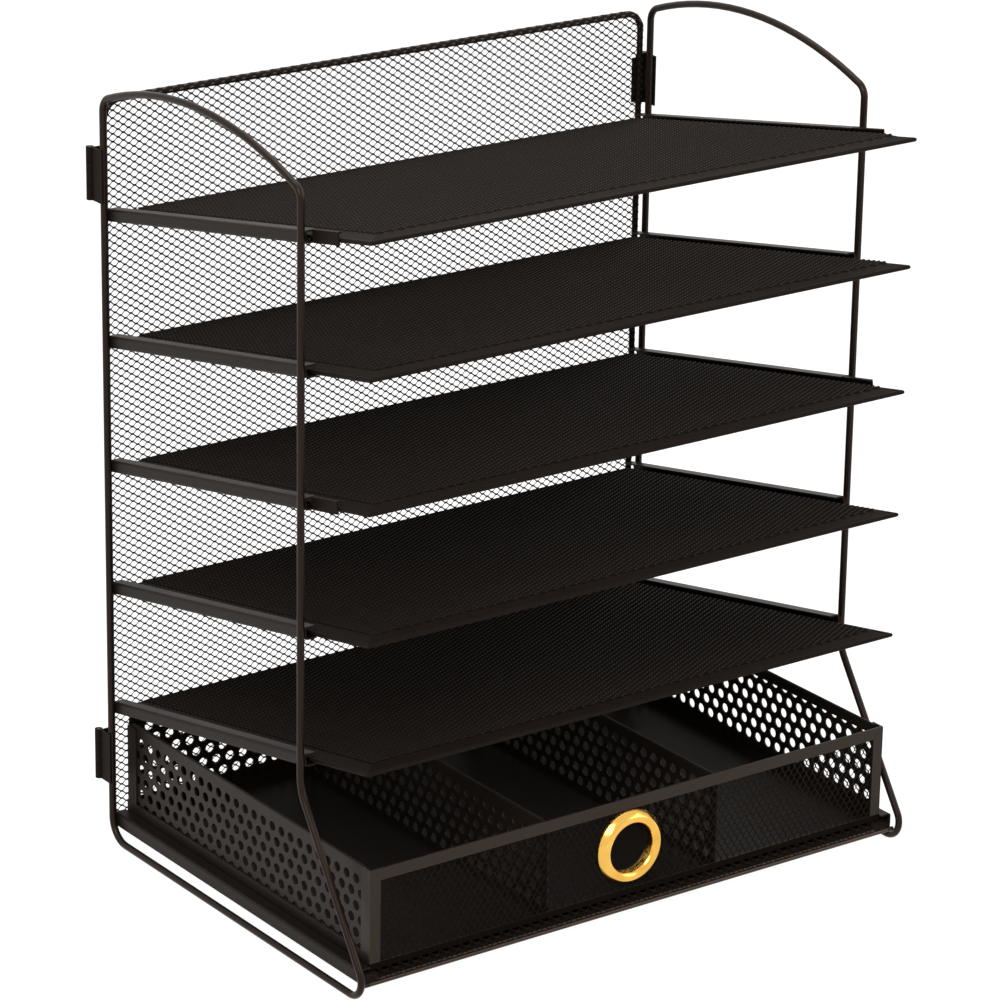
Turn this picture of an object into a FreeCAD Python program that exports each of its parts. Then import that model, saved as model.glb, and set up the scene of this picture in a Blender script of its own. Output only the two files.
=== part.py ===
import FreeCAD, Part
import math
import os

import Sketcher

# Desk organizer with five sloping mesh trays, a level base tray and a sliding drawer.
# Two bent-wire side frames hang on butt hinges at the edges of a mesh back panel.
# X runs to the right, Y to the back, Z up, in millimetres. The part stands on Z = 0
# with its box centred on X = 0 and Y = 0.

Vector = FreeCAD.Vector

# Driving dimensions: millimetres, degrees and counts.
DIMENSIONS = {
    # Side frames, measured on the centre line of the wire.
    "frame_half_width": 165.0,
    "wire_radius": 1.8,
    "post_depth": 171.5,
    "foot_reach": 223.3,
    "knee_height": 91.0,
    "arc_peak_height": 402.5,
    "arc_peak_setback": 82.0,
    "arc_radius": 224.0,
    "rear_top_bend_radius": 8.0,
    "front_top_bend_radius": 7.0,
    "knee_bend_radius": 22.0,
    "foot_bend_radius": 9.0,
    "heel_bend_radius": 12.0,
    # Back panel.
    "panel_half_width": 161.8,
    "panel_setback": 4.8,
    "panel_top": 385.0,
    "panel_bottom": 6.5,
    "panel_wire_radius": 1.5,
    "panel_corner_radius": 9.0,
    # Hinges.
    "hinge_outset": 2.5,
    "hinge_setback": 8.4,
    "hinge_length": 26.5,
    "upper_hinge_height": 349.25,
    "lower_hinge_height": 46.0,
    "end_knuckle_length": 7.5,
    "knuckle_radius": 2.0,
    "hinge_pin_radius": 0.9,
    "pin_clearance": 0.15,
    "knuckle_gap": 0.3,
    "leaf_gap": 0.4,
    "side_leaf_reach": 2.3,
    "panel_leaf_reach": 0.6,
    # Sheet metal and slides.
    "sheet_gauge": 0.8,
    "slide_gap": 0.3,
    # Channels of the sloping trays.
    "tray_tilt": 10.87,
    "lowest_rail_height": 72.4,
    "level_pitch": 64.2,
    "rail_height": 6.2,
    "rail_flange": 6.2,
    "rail_bend_radius": 1.4,
    "rail_rear_overlap": 1.0,
    "rail_front_reach": 172.5,
    # Sloping trays.
    "tray_half_width": 159.1,
    "tray_rear_gap": 0.5,
    "tray_front_reach": 218.2,
    "bead_radius": 1.1,
    "band_root": 1.0,
    "band_slope_end": 6.5,
    "band_width": 9.0,
    "band_rise": 2.3,
    "tab_length": 21.0,
    "tab_gap": 0.8,
    "tab_lip": 1.6,
    "tab_corner_radius": 2.0,
    # Base tray and its channels.
    "base_rail_bottom": 7.6,
    "base_rail_height": 7.6,
    "base_rail_flange": 6.4,
    "base_rail_front_reach": 218.8,
    "lip_bead_reach": 221.0,
    "lip_bead_height": 7.6,
    "lip_bead_radius": 1.1,
    "lip_side_gap": 0.6,
    # Drawer.
    "drawer_half_width": 156.4,
    "drawer_front_reach": 217.6,
    "drawer_rear_gap": 0.2,
    "drawer_top": 64.0,
    "drawer_back_top": 67.5,
    "pan_rim_height": 7.4,
    "front_plate": 1.0,
    "front_side_band": 6.0,
    "front_top_band": 6.0,
    "front_bottom_band": 3.2,
    "front_return": 6.6,
    "rear_return": 8.8,
    "rear_return_drop": 2.0,
    "divider_offset": 52.0,
    "divider_top": 62.0,
    "hem_depth": 5.6,
    "wall_corner_radius": 3.0,
    "hole_radius": 2.5,
    "hole_pitch": 8.0,
    "hole_drop": 8.6,
    "right_wall_hole_drop": 5.3,
    "hole_margin": 5.5,
    # Finger ring.
    "ring_height": 38.4,
    "ring_offset": -4.0,
    "ring_outer_radius": 19.5,
    "ring_bore_radius": 12.4,
    "ring_depth": 4.2,
    "ring_round": 2.5,
    "collar_wall": 1.2,
    "collar_clearance": 0.2,
    "washer_radius": 17.5,
    "washer_gauge": 1.0,
    # Nets, drawn here with fewer and larger gaps than the real expanded metal.
    "mesh_gauge": 0.8,
    "net_strand": 2.2,
    "net_margin": 3.0,
    "panel_net_columns": 12,
    "panel_net_rows": 12,
    "tray_net_columns": 14,
    "tray_net_rows": 10,
    "front_net_columns": 36,
    "front_net_rows": 3,
    "front_net_strand": 1.4,
}

# Shares: the places of bends and fillets that follow other sizes.
HALF_SHARE = 0.5

# How far apart two places may be and still count as one.
SAME_PLACE = 1e-6

TRAYS = 5


class Size:
    """A length or angle that keeps its value and the sheet expression it comes from."""

    def __init__(self, value, text):
        self.value = value
        self.text = text

    @staticmethod
    def of(other):
        return other if isinstance(other, Size) else Size(float(other), repr(float(other)))

    def join(self, other, sign, value):
        return Size(value, "(" + self.text + " " + sign + " " + Size.of(other).text + ")")

    def __add__(self, other):
        return self.join(other, "+", self.value + Size.of(other).value)

    def __sub__(self, other):
        return self.join(other, "-", self.value - Size.of(other).value)

    def __mul__(self, other):
        return self.join(other, "*", self.value * Size.of(other).value)

    def __truediv__(self, other):
        return self.join(other, "/", self.value / Size.of(other).value)

    def __radd__(self, other):
        return Size.of(other) + self

    def __rsub__(self, other):
        return Size.of(other) - self

    def __rmul__(self, other):
        return Size.of(other) * self

    def __neg__(self):
        return Size(-self.value, "(0 - " + self.text + ")")

    def __float__(self):
        return float(self.value)


def sine(angle):
    return Size(math.sin(math.radians(angle.value)), "sin(" + angle.text + ")")


def cosine(angle):
    return Size(math.cos(math.radians(angle.value)), "cos(" + angle.text + ")")


doc = FreeCAD.newDocument("DeskOrganizer")
sheet = doc.addObject("Spreadsheet::Sheet", "Sizes")


def fill_sheet():
    for row, (name, value) in enumerate(DIMENSIONS.items(), start=1):
        sheet.set("A" + str(row), name)
        sheet.set("B" + str(row), str(value))
        sheet.setAlias("B" + str(row), name)
    doc.recompute()


class Sheet:
    """Reads a named cell of the sheet as a Size."""

    def __getattr__(self, name):
        return Size(float(sheet.get(name)), "Sizes." + name)


fill_sheet()
s = Sheet()
ZERO = Size(0.0, "0")

# Places that several pieces share.
front_reach = s.foot_reach + s.wire_radius
back_reach = s.hinge_setback + s.knuckle_radius
rear_y = (front_reach - back_reach) * HALF_SHARE
panel_y = rear_y + s.panel_setback
hinge_x = s.frame_half_width + s.hinge_outset
hinge_y = rear_y + s.hinge_setback
post_inner_x = s.frame_half_width - s.wire_radius
post_outer_x = s.frame_half_width + s.wire_radius
bead_x = s.tray_half_width - s.bead_radius
half_gauge = s.sheet_gauge * HALF_SHARE

subparts = []


def keep(thing, label):
    """Gives a finished sub-part its label, which also names its file."""
    thing.Label = label
    subparts.append(thing)
    return thing


def new_body(label):
    body = doc.addObject("PartDesign::Body", label + "_body")
    return keep(body, label)


def origin_plane(body, role):
    return [item for item in body.Origin.OriginFeatures if item.Role == role][0]


def new_sketch(body, name, role, offset=ZERO):
    """A sketch on one of the body's origin planes, moved along the plane's normal."""
    sketch = body.newObject("Sketcher::SketchObject", name)
    sketch.AttachmentSupport = (origin_plane(body, role), [""])
    sketch.MapMode = "FlatFace"
    sketch.AttachmentOffset.Base.z = offset.value
    if offset is not ZERO:
        sketch.setExpression("AttachmentOffset.Base.z", offset.text)
    return sketch


def hold_point(sketch, edge, end, point):
    """Ties an edge's end to the sketch's origin by two dimensions."""
    for kind, value in (("DistanceX", point[0]), ("DistanceY", point[1])):
        value = Size.of(value)
        index = sketch.addConstraint(Sketcher.Constraint(kind, -1, 1, edge, end, value.value))
        if value.text.startswith("(") or value.text.startswith("Sizes"):
            sketch.setExpression("Constraints[" + str(index) + "]", value.text)


def add_outline(sketch, points, closed=True):
    """A chain of straight edges through the points, each point held by its dimensions."""
    first = sketch.GeometryCount
    places = [Vector(float(x), float(y), 0) for x, y in points]
    count = len(places) if closed else len(places) - 1
    for i in range(count):
        end = places[(i + 1) % len(places)]
        sketch.addGeometry(Part.LineSegment(places[i], end), False)
    for i in range(count if closed else count - 1):
        after = first + (i + 1) % count
        sketch.addConstraint(Sketcher.Constraint("Coincident", first + i, 2, after, 1))
    for i in range(count):
        hold_point(sketch, first + i, 1, points[i])
    if not closed:
        hold_point(sketch, first + count - 1, 2, points[-1])


def add_circle(sketch, centre, radius):
    place = Vector(float(centre[0]), float(centre[1]), 0)
    edge = sketch.addGeometry(Part.Circle(place, Vector(0, 0, 1), radius.value), False)
    index = sketch.addConstraint(Sketcher.Constraint("Radius", edge, radius.value))
    sketch.setExpression("Constraints[" + str(index) + "]", radius.text)
    hold_point(sketch, edge, 3, centre)


def rectangle(x0, x1, y0, y1):
    return [(x0, y0), (x1, y0), (x1, y1), (x0, y1)]


def pad(body, name, sketch, length):
    feature = body.newObject("PartDesign::Pad", name)
    feature.Profile = sketch
    feature.Length = length.value
    feature.setExpression("Length", length.text)
    return feature


def pocket_through(body, name, sketch, length):
    """Cuts both ways from the sketch, so the way it faces doesn't matter."""
    feature = body.newObject("PartDesign::Pocket", name)
    feature.Profile = sketch
    feature.Length = length.value
    feature.setExpression("Length", length.text)
    feature.Midplane = True
    return feature


def move_body(body, x, y, z):
    for axis, value in (("x", x), ("y", y), ("z", z)):
        if value is not ZERO:
            body.setExpression("Placement.Base." + axis, value.text)


def tilt_body(body, angle):
    body.Placement.Rotation.Axis = Vector(1, 0, 0)
    body.setExpression("Placement.Rotation.Angle", angle.text)


def feature_from(shape, label):
    thing = doc.addObject("Part::Feature", label + "_shape")
    thing.Shape = shape
    return keep(thing, label)


# Bent wires.


def arc_edge(start, end, centre):
    """The short arc about centre from start to end."""
    middle = (start - centre) + (end - centre)
    middle.normalize()
    return Part.Arc(start, centre + middle * (start - centre).Length, end).toShape()


def line_edge(start, end):
    return Part.LineSegment(start, end).toShape()


def rod(edges, radius):
    """A round rod along straight and circular edges that meet in line."""
    pieces = []
    for edge in edges:
        first, last = edge.FirstParameter, edge.LastParameter
        start, end = edge.valueAt(first), edge.valueAt(last)
        disc = Part.Face(Part.Wire(Part.makeCircle(radius, start, edge.tangentAt(first))))
        if isinstance(edge.Curve, Part.Circle):
            turn = math.degrees(last - first)
            pieces.append(disc.revolve(edge.Curve.Center, edge.Curve.Axis, turn))
        else:
            pieces.append(disc.extrude(end - start))
    return pieces[0].multiFuse(pieces[1:]).removeSplitter()


def side_wire_edges():
    """The closed loop of a side frame in its own plane: x forward of the rear post, y up."""
    depth = float(s.post_depth)
    runner = float(s.wire_radius)
    arc_r = float(s.arc_radius)
    arc_centre = Vector(float(s.arc_peak_setback), float(s.arc_peak_height) - arc_r, 0)

    def top_bend(radius, x):
        """A bend between the upright at x and the long arc: its centre and two ends."""
        inward = 1 if x == 0 else -1
        bend_x = x + inward * radius
        rise = math.sqrt((arc_r - radius) ** 2 - (bend_x - arc_centre.x) ** 2)
        centre = Vector(bend_x, arc_centre.y + rise, 0)
        along = (centre - arc_centre).normalize()
        return centre, Vector(x, centre.y, 0), arc_centre + along * arc_r

    rear_bend = top_bend(float(s.rear_top_bend_radius), 0)
    front_bend = top_bend(float(s.front_top_bend_radius), depth)

    # The foot's bend reaches furthest forward, and the leg runs from the knee onto it.
    foot_r = float(s.foot_bend_radius)
    foot = Vector(float(s.foot_reach) - foot_r, runner + foot_r, 0)
    knee = Vector(depth, float(s.knee_height), 0)
    to_foot = foot - knee
    swing = math.asin(foot_r / to_foot.Length)
    heading = math.atan2(to_foot.y, to_foot.x) + swing
    leg = Vector(math.cos(heading), math.sin(heading), 0)
    leg_end = knee + leg * math.sqrt(to_foot.Length ** 2 - foot_r ** 2)

    # The knee's bend takes equal lengths from the upright and the leg.
    knee_r = float(s.knee_bend_radius)
    turn = math.acos(-leg.y)
    cut = knee_r * math.tan(turn / 2)
    knee_top = knee + Vector(0, cut, 0)
    knee_low = knee + leg * cut
    knee_centre = knee_top + Vector(knee_r, 0, 0)

    heel_r = float(s.heel_bend_radius)
    heel = Vector(heel_r, runner + heel_r, 0)
    heel_top = Vector(0, heel.y, 0)
    heel_low = Vector(heel_r, runner, 0)
    foot_low = Vector(foot.x, runner, 0)

    return [
        line_edge(heel_top, rear_bend[1]),
        arc_edge(rear_bend[1], rear_bend[2], rear_bend[0]),
        arc_edge(rear_bend[2], front_bend[2], arc_centre),
        arc_edge(front_bend[2], front_bend[1], front_bend[0]),
        line_edge(front_bend[1], knee_top),
        arc_edge(knee_top, knee_low, knee_centre),
        line_edge(knee_low, leg_end),
        arc_edge(leg_end, foot_low, foot),
        line_edge(foot_low, heel_low),
        arc_edge(heel_low, heel_top, heel),
    ]


def make_side_wire(name, side):
    wire = rod(side_wire_edges(), float(s.wire_radius))
    thing = feature_from(wire, name + "_side_wire")
    # Turns the flat loop upright, with its forward direction towards the front.
    upright = FreeCAD.Rotation(Vector(0, -1, 0), Vector(0, 0, 1), Vector(-1, 0, 0))
    place = Vector(side * float(s.frame_half_width), float(rear_y), 0)
    thing.Placement = FreeCAD.Placement(place, upright)


def make_back_frame_wire():
    half = float(s.panel_half_width)
    low, high = float(s.panel_bottom), float(s.panel_top)
    r = float(s.panel_corner_radius)
    y = float(panel_y)
    corners = [(-1, low, 1), (1, low, 1), (1, high, -1), (-1, high, -1)]
    ends = []
    for side, z, up in corners:
        centre = Vector(side * (half - r), y, z + up * r)
        flat = Vector(centre.x, y, z)
        upright = Vector(side * half, y, centre.z)
        ends.append((centre, flat, upright))
    lower_left, lower_right, upper_right, upper_left = ends
    edges = [
        line_edge(lower_left[1], lower_right[1]),
        arc_edge(lower_right[1], lower_right[2], lower_right[0]),
        line_edge(lower_right[2], upper_right[2]),
        arc_edge(upper_right[2], upper_right[1], upper_right[0]),
        line_edge(upper_right[1], upper_left[1]),
        arc_edge(upper_left[1], upper_left[2], upper_left[0]),
        line_edge(upper_left[2], lower_left[2]),
        arc_edge(lower_left[2], lower_left[1], lower_left[0]),
    ]
    feature_from(rod(edges, float(s.panel_wire_radius)), "back_frame_wire")


# Nets and perforated walls, each one holed face with a thickness.


def closed_wire(points):
    return Part.makePolygon(points + points[:1])


def holed_plate(outline, holes, thickness):
    """A plate whose outline and holes are given running the same way round."""
    for hole in holes:
        hole.reverse()
    face = Part.Face([outline] + holes)
    return face.extrude(Vector(0, 0, thickness))


def rectangle_wire(x0, x1, y0, y1):
    return closed_wire([Vector(x0, y0, 0), Vector(x1, y0, 0), Vector(x1, y1, 0), Vector(x0, y1, 0)])


def circle_wire(x, y, radius):
    return Part.Wire(Part.makeCircle(radius, Vector(x, y, 0)))


def diamond_holes(x0, x1, y0, y1, columns, rows, strand, clear_of=None):
    """Diamond gaps in staggered rows over a rectangle, none inside the circle clear_of."""
    step_x = (x1 - x0) / columns
    step_y = (y1 - y0) / rows
    half_x = (step_x - strand * step_x / step_y) / 2 if step_x > step_y else (step_x - strand) / 2
    half_y = half_x * step_y / step_x
    holes = []
    for line in range(2 * rows - 1):
        inset = line % 2
        y = y0 + (line + 1) * step_y / 2
        for column in range(columns - inset):
            x = x0 + (column + (1 + inset) / 2) * step_x
            if clear_of is not None:
                away = math.hypot(x - clear_of[0], y - clear_of[1])
                if away < clear_of[2] + max(half_x, half_y):
                    continue
            tips = [(x - half_x, y), (x, y - half_y), (x + half_x, y), (x, y + half_y)]
            holes.append(closed_wire([Vector(tip_x, tip_y, 0) for tip_x, tip_y in tips]))
    return holes


def make_back_mesh():
    """The panel's net, whose edge lies against the middle of its frame wire."""
    half = float(s.panel_half_width - s.panel_wire_radius)
    low = float(s.panel_bottom + s.panel_wire_radius)
    high = float(s.panel_top - s.panel_wire_radius)
    corner = float(s.panel_corner_radius - s.panel_wire_radius)
    margin = float(s.net_margin)
    cut = corner * (1 - math.sqrt(HALF_SHARE)) * 2
    outline = closed_wire([
        Vector(-half + cut, low, 0), Vector(half - cut, low, 0),
        Vector(half, low + cut, 0), Vector(half, high - cut, 0),
        Vector(half - cut, high, 0), Vector(-half + cut, high, 0),
        Vector(-half, high - cut, 0), Vector(-half, low + cut, 0),
    ])
    holes = diamond_holes(-half + margin, half - margin, low + margin, high - margin,
                          int(float(s.panel_net_columns)), int(float(s.panel_net_rows)),
                          float(s.net_strand))
    thing = feature_from(holed_plate(outline, holes, float(s.mesh_gauge)), "back_mesh")
    upright = FreeCAD.Rotation(Vector(1, 0, 0), Vector(0, 0, 1), Vector(0, -1, 0))
    place = Vector(0, float(panel_y + s.mesh_gauge * HALF_SHARE), 0)
    thing.Placement = FreeCAD.Placement(place, upright)


# Hinges.


def knuckle_levels():
    """The lower end and length of the three knuckles, from the hinge's lower end."""
    middle = s.hinge_length - s.end_knuckle_length * 2
    return [
        (ZERO, s.end_knuckle_length - s.knuckle_gap * HALF_SHARE),
        (s.end_knuckle_length + s.knuckle_gap * HALF_SHARE, middle - s.knuckle_gap),
        (s.end_knuckle_length + middle + s.knuckle_gap * HALF_SHARE,
         s.end_knuckle_length - s.knuckle_gap * HALF_SHARE),
    ]


def add_knuckle(body, name, side, level, length):
    sketch = new_sketch(body, name + "_circle", "XY_Plane", level)
    add_circle(sketch, (hinge_x * side, hinge_y), s.knuckle_radius)
    pad(body, name, sketch, length)


def bore_knuckles(body, side):
    sketch = new_sketch(body, "bore_circle", "XY_Plane")
    add_circle(sketch, (hinge_x * side, hinge_y), s.hinge_pin_radius + s.pin_clearance)
    pocket_through(body, "bore", sketch, s.hinge_length * 2 + s.knuckle_gap)


def make_side_leaf(label, side, bottom):
    """Welded flat to the outside of the rear post; it carries the middle knuckle."""
    body = new_body(label)
    inner = post_outer_x * side
    outer = (post_outer_x + s.sheet_gauge) * side
    front = rear_y - s.side_leaf_reach
    back = hinge_y - s.knuckle_radius - s.leaf_gap
    plate = new_sketch(body, "plate_outline", "XY_Plane")
    add_outline(plate, rectangle(inner, outer, front, back))
    pad(body, "plate", plate, s.hinge_length)
    level, length = knuckle_levels()[1]
    tongue = new_sketch(body, "tongue_outline", "XY_Plane", level)
    add_outline(tongue, rectangle(inner, outer, back, hinge_y))
    pad(body, "tongue", tongue, length)
    add_knuckle(body, "middle_knuckle", side, level, length)
    bore_knuckles(body, side)
    move_body(body, ZERO, ZERO, bottom)


def make_panel_leaf(label, side, bottom):
    """Welded behind the panel's edge wire; it carries the two end knuckles."""
    body = new_body(label)
    front = panel_y + s.panel_wire_radius
    back = front + s.sheet_gauge
    inner = (s.panel_half_width - s.panel_leaf_reach) * side
    edge = (hinge_x - s.knuckle_radius - s.leaf_gap) * side
    plate = new_sketch(body, "plate_outline", "XY_Plane")
    add_outline(plate, rectangle(inner, edge, front, back))
    pad(body, "plate", plate, s.hinge_length)
    levels = knuckle_levels()
    for name, (level, length) in (("lower", levels[0]), ("upper", levels[2])):
        tongue = new_sketch(body, name + "_tongue_outline", "XY_Plane", level)
        add_outline(tongue, rectangle(edge, hinge_x * side, front, back))
        pad(body, name + "_tongue", tongue, length)
        add_knuckle(body, name + "_knuckle", side, level, length)
    bore_knuckles(body, side)
    move_body(body, ZERO, ZERO, bottom)


def make_hinge_pin(label, side, bottom):
    body = new_body(label)
    sketch = new_sketch(body, "pin_circle", "XY_Plane")
    add_circle(sketch, (hinge_x * side, hinge_y), s.hinge_pin_radius)
    pad(body, "pin", sketch, s.hinge_length)
    move_body(body, ZERO, ZERO, bottom)


def make_hinges(name, side):
    for level, height in (("upper", s.upper_hinge_height), ("lower", s.lower_hinge_height)):
        bottom = height - s.hinge_length * HALF_SHARE
        make_side_leaf(level + "_" + name + "_side_leaf", side, bottom)
        make_panel_leaf(level + "_" + name + "_panel_leaf", side, bottom)
        make_hinge_pin(level + "_" + name + "_hinge_pin", side, bottom)


# Channels. A channel's profile stands on the plane across the slide, open inwards.


def channel_points(side, flange, low, high):
    web = post_inner_x * side
    inside = (post_inner_x - s.sheet_gauge) * side
    mouth = (post_inner_x - flange) * side
    return [
        (web, low), (mouth, low), (mouth, low + s.sheet_gauge), (inside, low + s.sheet_gauge),
        (inside, high - s.sheet_gauge), (mouth, high - s.sheet_gauge), (mouth, high), (web, high),
    ]


def level_height(level):
    """Height of a channel's middle at the rear post; level 1 is the top tray."""
    return s.lowest_rail_height + s.level_pitch * (TRAYS - level)


def along_slope(reach):
    """The length on the slope that reaches a level distance forward of the rear post."""
    return reach / cosine(s.tray_tilt)


def place_on_slope(body, level):
    """Puts a tray-level body on its slope: local Y = 0 is at the rear post."""
    tilt_body(body, -s.tray_tilt)
    move_body(body, ZERO, rear_y, level_height(level))


def round_bends(body, channel, side):
    """Rounds a channel's two bends, outside and inside, so that the sheet keeps its gauge."""
    inner_radius = s.rail_bend_radius - s.sheet_gauge
    for name, x, radius in (("outer_bends", post_inner_x, s.rail_bend_radius),
                            ("inner_bends", post_inner_x - s.sheet_gauge, inner_radius)):
        doc.recompute()
        corners = []
        for i, edge in enumerate(channel.Shape.Edges, start=1):
            ends = [vertex.Point for vertex in edge.Vertexes]
            at_bend = all(abs(end.x - x.value * side) < SAME_PLACE for end in ends)
            if at_bend and abs(ends[0].z - ends[-1].z) < SAME_PLACE:
                corners.append("Edge" + str(i))
        fillet = body.newObject("PartDesign::Fillet", name)
        fillet.Base = (channel, corners)
        fillet.Radius = radius.value
        fillet.setExpression("Radius", radius.text)
        channel = fillet


def make_rail(name, side, level):
    body = new_body(name + "_rail_" + str(level))
    half = s.rail_height * HALF_SHARE
    profile = new_sketch(body, "channel_profile", "XZ_Plane", -s.rail_rear_overlap)
    add_outline(profile, channel_points(side, s.rail_flange, -half, half))
    length = along_slope(s.rail_front_reach) + s.rail_rear_overlap
    round_bends(body, pad(body, "channel", profile, length), side)
    place_on_slope(body, level)


def make_base_rail(name, side):
    body = new_body(name + "_base_rail")
    top = s.base_rail_bottom + s.base_rail_height
    profile = new_sketch(body, "channel_profile", "XZ_Plane", -s.rail_rear_overlap)
    add_outline(profile, channel_points(side, s.base_rail_flange, s.base_rail_bottom, top))
    length = s.base_rail_front_reach + s.rail_rear_overlap
    round_bends(body, pad(body, "channel", profile, length), side)
    move_body(body, ZERO, rear_y, ZERO)


# Trays. The bead's centre is local Z = 0 and lies low in the channel.

bead_drop = s.rail_height * HALF_SHARE - s.sheet_gauge - s.slide_gap - s.bead_radius
tray_front = along_slope(s.tray_front_reach) - s.bead_radius
tray_rear = s.tray_rear_gap + s.bead_radius


def band_profile(edge, middle):
    """Cross-section of the sheet band from the bead at edge up to its flat lip."""
    root = edge + s.band_root
    slope_end = edge + s.band_slope_end
    tip = edge + s.band_width
    lip = middle + s.band_rise
    return [
        (root, middle + half_gauge), (slope_end, lip + half_gauge), (tip, lip + half_gauge),
        (tip, lip - half_gauge), (slope_end, lip - half_gauge), (root, middle - half_gauge),
    ]


def sweep_round(body, name, profile, path, edge_count):
    pipe = body.newObject("PartDesign::AdditivePipe", name)
    pipe.Profile = profile
    pipe.Spine = (path, ["Edge" + str(i + 1) for i in range(edge_count)])
    pipe.Transition = "Right corner"
    return pipe


def place_tray_piece(body, level):
    """Sets a tray's piece on the slope, lowered square to it until the bead is seated."""
    tilt_body(body, -s.tray_tilt)
    lowered_y = rear_y - bead_drop * sine(s.tray_tilt)
    lowered_z = level_height(level) - bead_drop * cosine(s.tray_tilt)
    move_body(body, ZERO, lowered_y, lowered_z)


def make_tray_rim(level):
    """A sheet band round the net with a rolled bead along its outer edge, mitred."""
    body = new_body("tray_" + str(level) + "_rim")
    path = new_sketch(body, "bead_line", "XY_Plane")
    add_outline(path, [(ZERO, -tray_front), (bead_x, -tray_front), (bead_x, -tray_rear),
                       (-bead_x, -tray_rear), (-bead_x, -tray_front)])
    band = new_sketch(body, "band_section", "YZ_Plane")
    add_outline(band, band_profile(-tray_front, ZERO))
    sweep_round(body, "band", band, path, 5)
    bead = new_sketch(body, "bead_section", "YZ_Plane")
    add_circle(bead, (-tray_front, ZERO), s.bead_radius)
    sweep_round(body, "bead", bead, path, 5)
    place_tray_piece(body, level)


def make_tray_mesh(level):
    """The tray's net, laid on the band's lip."""
    half = float(bead_x - s.band_slope_end)
    front = -float(tray_front - s.band_slope_end)
    rear = -float(tray_rear + s.band_slope_end)
    lip = float(s.band_width - s.band_slope_end)
    outline = rectangle_wire(-half, half, front, rear)
    holes = diamond_holes(-half + lip, half - lip, front + lip, rear - lip,
                          int(float(s.tray_net_columns)), int(float(s.tray_net_rows)),
                          float(s.net_strand))
    plate = holed_plate(outline, holes, float(s.mesh_gauge))
    thing = feature_from(plate, "tray_" + str(level) + "_mesh")
    above_bead = s.band_rise + half_gauge
    tilt = FreeCAD.Rotation(Vector(1, 0, 0), -float(s.tray_tilt))
    origin = Vector(0, float(rear_y), float(level_height(level)))
    up = tilt.multVec(Vector(0, 0, float(above_bead - bead_drop)))
    thing.Placement = FreeCAD.Placement(origin + up, tilt)


def make_stop_tab(level, name, side):
    """A small angle on the bead that stops the tray against its channel's front end."""
    body = new_body("tray_" + str(level) + "_" + name + "_stop_tab")
    inner = s.tray_half_width * side
    outer = (s.tray_half_width + s.sheet_gauge) * side
    low = bead_drop - s.rail_height * HALF_SHARE
    high = low + s.rail_height
    lip_x = (s.tray_half_width - s.tab_lip) * side
    profile = new_sketch(body, "tab_profile", "XZ_Plane",
                         along_slope(s.rail_front_reach) + s.tab_gap)
    add_outline(profile, [(outer, low), (inner, low), (inner, high - s.sheet_gauge),
                          (lip_x, high - s.sheet_gauge), (lip_x, high), (outer, high)])
    tab = pad(body, "tab", profile, s.tab_length)
    doc.recompute()
    # The two upper corners of the outer plate are rounded.
    corners = []
    for i, edge in enumerate(tab.Shape.Edges, start=1):
        ends = [vertex.Point for vertex in edge.Vertexes]
        level_edge = abs(ends[0].z - ends[1].z) < SAME_PLACE
        across = abs(ends[0].y - ends[1].y) < SAME_PLACE and level_edge
        if across and abs(ends[0].z - high.value) < SAME_PLACE:
            corners.append("Edge" + str(i))
    fillet = body.newObject("PartDesign::Fillet", "rounded_corners")
    fillet.Base = (tab, corners)
    fillet.Radius = s.tab_corner_radius.value * HALF_SHARE
    fillet.setExpression("Radius", "min(" + (s.tab_corner_radius * HALF_SHARE).text + "; "
                         + (s.sheet_gauge * HALF_SHARE).text + ")")
    place_tray_piece(body, level)


# Base tray. Its side beads lie in the level channels and its net is a little higher.

base_bead_z = s.base_rail_bottom + s.sheet_gauge + s.slide_gap + s.bead_radius
base_lip_z = base_bead_z + s.band_rise
pan_bottom = base_lip_z + half_gauge + s.slide_gap


def make_base_tray_rim():
    body = new_body("base_tray_rim")
    reach = s.lip_bead_reach - s.band_width
    front = -reach
    path = new_sketch(body, "bead_line", "XY_Plane", base_bead_z)
    add_outline(path, [(-bead_x, front), (-bead_x, -tray_rear), (bead_x, -tray_rear),
                       (bead_x, front)], closed=False)
    band = new_sketch(body, "band_section", "XZ_Plane", reach)
    add_outline(band, band_profile(-bead_x, base_bead_z))
    sweep_round(body, "band", band, path, 3)
    bead = new_sketch(body, "bead_section", "XZ_Plane", reach)
    add_circle(bead, (-bead_x, base_bead_z), s.bead_radius)
    sweep_round(body, "bead", bead, path, 3)
    move_body(body, ZERO, rear_y, ZERO)


def make_base_front_lip():
    """The front edge turned down under the drawer to a bead close to the desk."""
    body = new_body("base_front_lip")
    drop = base_lip_z - s.lip_bead_height
    half = post_inner_x - s.base_rail_flange - s.lip_side_gap
    section = new_sketch(body, "lip_section", "YZ_Plane", -half)
    back = -s.lip_bead_reach + s.band_width
    slope_end = -s.lip_bead_reach + s.band_slope_end
    root = -s.lip_bead_reach + s.band_root
    middle = s.lip_bead_height
    add_outline(section, [
        (root, middle + half_gauge), (root, middle - half_gauge),
        (slope_end, middle + drop - half_gauge), (back, middle + drop - half_gauge),
        (back, middle + drop + half_gauge), (slope_end, middle + drop + half_gauge),
    ])
    pad(body, "band", section, half * 2)
    bead = new_sketch(body, "bead_section", "YZ_Plane", -s.tray_half_width)
    add_circle(bead, (-s.lip_bead_reach, middle), s.lip_bead_radius)
    pad(body, "bead", bead, s.tray_half_width * 2)
    move_body(body, ZERO, rear_y, ZERO)


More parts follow.
